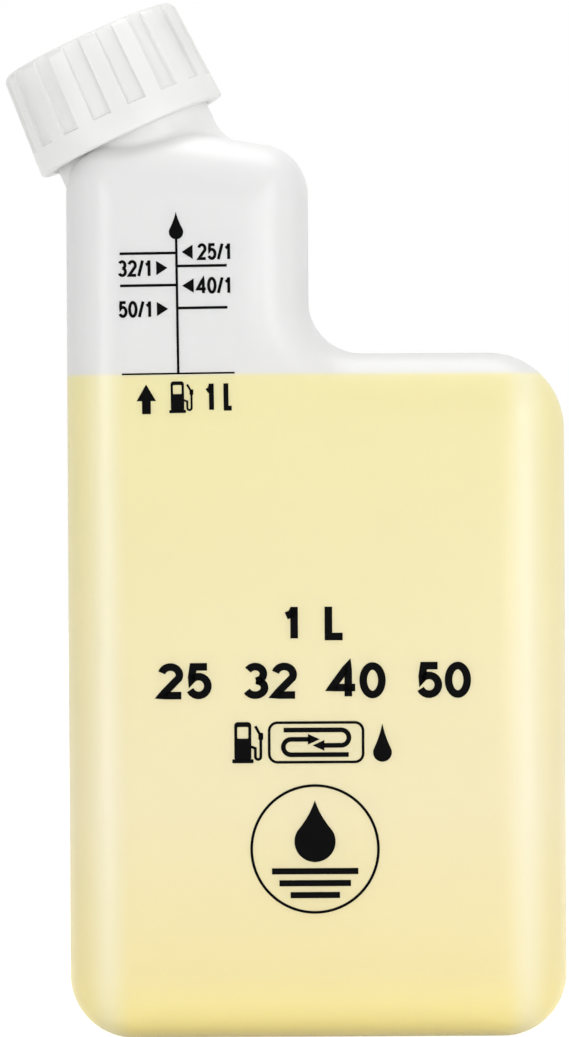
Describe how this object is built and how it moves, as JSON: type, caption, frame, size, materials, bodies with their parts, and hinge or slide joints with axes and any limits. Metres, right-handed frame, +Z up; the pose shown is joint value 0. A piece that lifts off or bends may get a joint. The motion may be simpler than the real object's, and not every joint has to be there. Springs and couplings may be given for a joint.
{
  "type": "fuel mixing bottle",
  "caption": "Flat squeeze bottle with a narrow measuring chamber, a tilted threaded neck and a ribbed screw cap, holding mixed fuel up to its litre line.",
  "frame": {"origin": "under the middle of the whole footprint, from the cap's far edge to the body's right side, on the surface the bottle stands on", "axes": "+Z up; the printed front faces -Y; the cap leans towards -X"},
  "size_m": [0.1362, 0.0564, 0.2535],
  "materials": {
    "bottle_plastic": "milky see-through blow-moulded polyethylene, satin",
    "fuel": "pale yellow liquid",
    "cap_plastic": "white moulded polypropylene, satin",
    "liner_foam": "white closed-cell foam"
  },
  "bodies": {
    "bottle": {"bottle": "bottle_plastic", "fuel": "fuel"},
    "liner": {"cap_liner": "liner_foam"},
    "cap": {"cap": "cap_plastic"}
  },
  "joints": [
    {"name": "cap_rise", "type": "slide", "parent": "bottle", "child": "liner", "axis": [-0.4131, 0, 0.9107], "range_m": [0, 0.025]},
    {"name": "cap_turn", "type": "hinge", "parent": "liner", "child": "cap", "pos_m": [-0.03716, 0, 0.22123], "axis": [-0.4131, 0, 0.9107], "range_deg": [0, 1800]}
  ],
  "couplings": [
    {"joint": "cap_rise", "follows": "cap_turn", "m_per_rad": 0.00079577}
  ]
}
